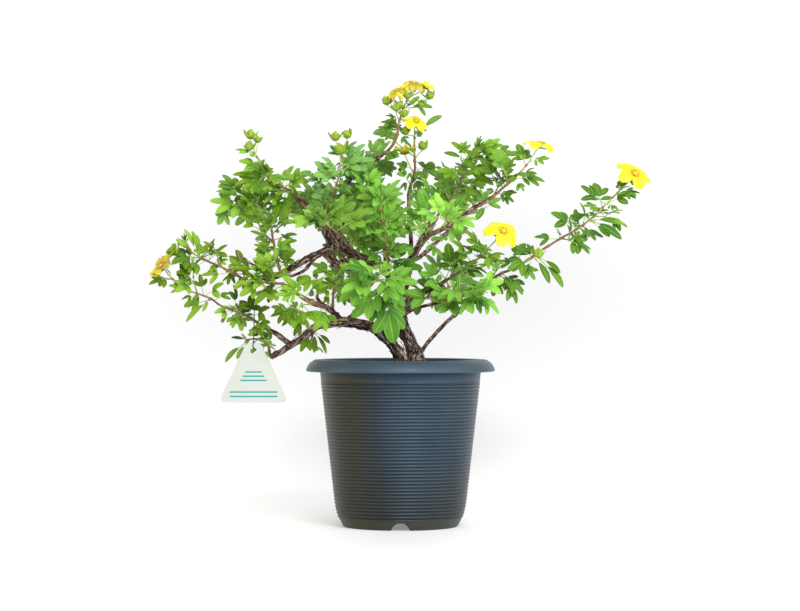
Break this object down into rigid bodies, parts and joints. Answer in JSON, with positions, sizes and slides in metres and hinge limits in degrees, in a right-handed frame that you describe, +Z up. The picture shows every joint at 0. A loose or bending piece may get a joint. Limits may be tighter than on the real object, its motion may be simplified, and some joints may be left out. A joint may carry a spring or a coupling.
{
  "type": "potted shrubby cinquefoil",
  "caption": "Potted shrubby cinquefoil trained as a small tree: forked woody trunk, spreading boughs, divided leaves and yellow flowers, in a ribbed dark plastic pot with a blank tag.",
  "frame": {"origin": "centre of the pot's flat underside, on the surface that it stands on", "axes": "+Z up along the pot's axis, +X along the widest spread of the crown towards the long right-hand bough, -Y towards the front"},
  "size_m": [0.4265, 0.2354, 0.379],
  "materials": {
    "pot": "satin, finely ribbed",
    "soil": "rough, crumbly",
    "bark": "rough, shreddy bark",
    "foliage": "soft satin leaf",
    "tag": "satin, slightly translucent",
    "thread": "matt"
  },
  "bodies": {
    "root": {"back_centre_bough": "bark", "back_centre_mass": "foliage", "back_left_mass": "foliage", "back_low_bough": "bark", "back_low_mass": "foliage", "back_right_bough": "bark", "back_right_mass": "foliage", "back_top_mass": "foliage", "centre_bough": "bark", "centre_left_mass": "foliage", "dead_twig": "bark", "far_left_lower_mass": "foliage", "far_left_upper_mass": "foliage", "far_right_bough": "bark", "far_right_mass": "foliage", "front_centre_mass": "foliage", "front_left_low_mass": "foliage", "front_left_mass": "foliage", "front_low_bough": "bark", "front_low_mass": "foliage", "front_right_mass": "foliage", "hang_tag": "tag", "knot_left_mass": "foliage", "leader_bough": "bark", "left_crown_bough": "bark", "left_fork_bough": "bark", "left_long_bough": "bark", "left_low_mass": "foliage", "left_low_stub": "bark", "left_rising_bough": "bark", "left_rising_mass": "foliage", "left_spur_mass": "foliage", "left_tip_mass": "foliage", "left_under_mass": "foliage", "left_upright_mass": "foliage", "low_left_arch": "bark", "low_left_riser": "bark", "low_right_bough": "bark", "low_right_mass": "foliage", "mid_right_bough": "bark", "mid_right_mass": "foliage", "pot": "pot", "right_back_mass": "foliage", "right_back_stub": "bark", "right_branch_mass": "foliage", "right_crown_bough": "bark", "right_twin_bough": "bark", "right_twin_mass": "foliage", "right_upper_branch": "bark", "right_upper_mass": "foliage", "soil": "soil", "tag_thread": "thread", "top_mass": "foliage", "top_stem_mass": "foliage", "trunk": "bark", "upper_left_bough": "bark", "upper_left_mass": "foliage", "upright_mass": "foliage"}
  },
  "joints": []
}
